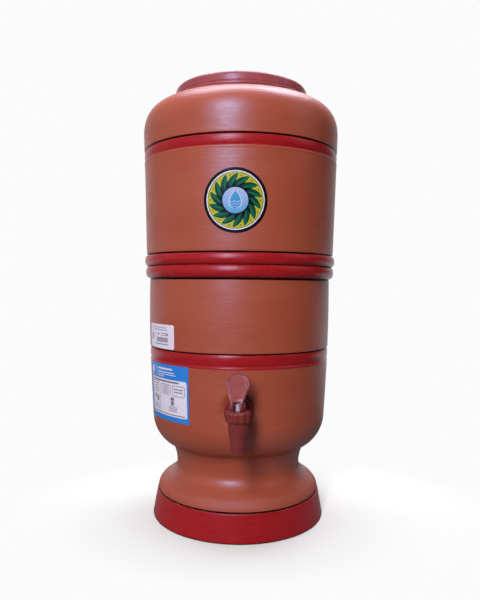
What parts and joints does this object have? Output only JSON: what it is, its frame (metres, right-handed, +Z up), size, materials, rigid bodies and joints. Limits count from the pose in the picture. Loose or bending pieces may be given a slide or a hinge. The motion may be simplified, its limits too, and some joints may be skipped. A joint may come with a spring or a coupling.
{
  "type": "clay water filter",
  "caption": "Two stacked terracotta vessels on a pedestal foot with red bands, a flat plastic lid, an inner filter candle with a float valve and a lever tap low on the front.",
  "frame": {"origin": "on the floor, at the middle of the bottom of the box that the whole filter fills; the vessels' own axis stands 15.2 mm behind it, because the tap reaches out in front", "axes": "+Z up, the tap faces -Y, +X to the right of someone who faces the tap"},
  "size_m": [0.2336, 0.2637, 0.5099],
  "materials": {
    "terracotta": "unglazed terracotta with painted glossy red bands, beads and foot band, and thin black lines in their grooves",
    "lid_plastic": "maroon moulded plastic, satin",
    "tap_plastic": "reddish brown moulded plastic, glossy",
    "stem_plastic": "translucent white plastic",
    "white_plastic": "white food-grade plastic, satin",
    "filter_ceramic": "fine white porous ceramic, chalky",
    "carbon": "pressed activated carbon",
    "rubber": "black rubber",
    "silicone": "milky silicone rubber",
    "steel": "stainless steel",
    "emblem_print": "printed round sticker in yellow-green, green, blue and black, satin",
    "ticket_paper": "white paper ticket with grey bars",
    "care_print": "blue printed card with a white panel of plain lines"
  },
  "bodies": {
    "lower_body": {"lower_vessel": "terracotta", "ticket_label": "ticket_paper", "care_label": "care_print", "tap_body": "tap_plastic", "tap_spout": "tap_plastic", "tap_outer_washer": "rubber", "tap_inner_washer": "rubber", "tap_nut": "tap_plastic", "stem_ring": "rubber"},
    "upper_body": {"upper_vessel": "terracotta", "emblem_label": "emblem_print", "candle_shell": "filter_ceramic", "carbon_core": "carbon", "candle_cap": "white_plastic", "candle_washer": "silicone", "under_floor_washer": "silicone", "candle_wing_nut": "white_plastic", "float_valve_body": "white_plastic", "float_pin": "steel"},
    "float_body": {"float_arm": "white_plastic", "valve_pad": "rubber", "float": "white_plastic"},
    "lid_body": {"lid": "lid_plastic"},
    "valve_body": {"tap_stem": "stem_plastic", "valve_plug": "silicone", "valve_spring": "steel"},
    "lever_body": {"lever": "tap_plastic", "lever_pin": "steel"}
  },
  "joints": [
    {"name": "upper_lift", "type": "slide", "parent": "lower_body", "child": "upper_body", "axis": [0, 0, 1], "range_m": [0, 0.15]},
    {"name": "lid_lift", "type": "slide", "parent": "upper_body", "child": "lid_body", "axis": [0, 0, 1], "range_m": [0, 0.12]},
    {"name": "float_swing", "type": "hinge", "parent": "upper_body", "child": "float_body", "pos_m": [0.014, 0.01517, 0.2386], "axis": [0, 1, 0], "range_deg": [0, 30]},
    {"name": "valve_lift", "type": "slide", "parent": "lower_body", "child": "valve_body", "axis": [0, 0, 1], "range_m": [0, 0.0034], "stiffness_N_per_m": 40, "springref_m": -0.004, "deforming": ["valve_spring"]},
    {"name": "lever_tilt", "type": "hinge", "parent": "valve_body", "child": "lever_body", "pos_m": [0, -0.11877, 0.156], "axis": [0.9397, -0.342, 0], "range_deg": [0, 85]}
  ],
  "couplings": [
    {"joint": "lever_tilt", "follows": "valve_lift", "rad_per_m": 436.33}
  ]
}
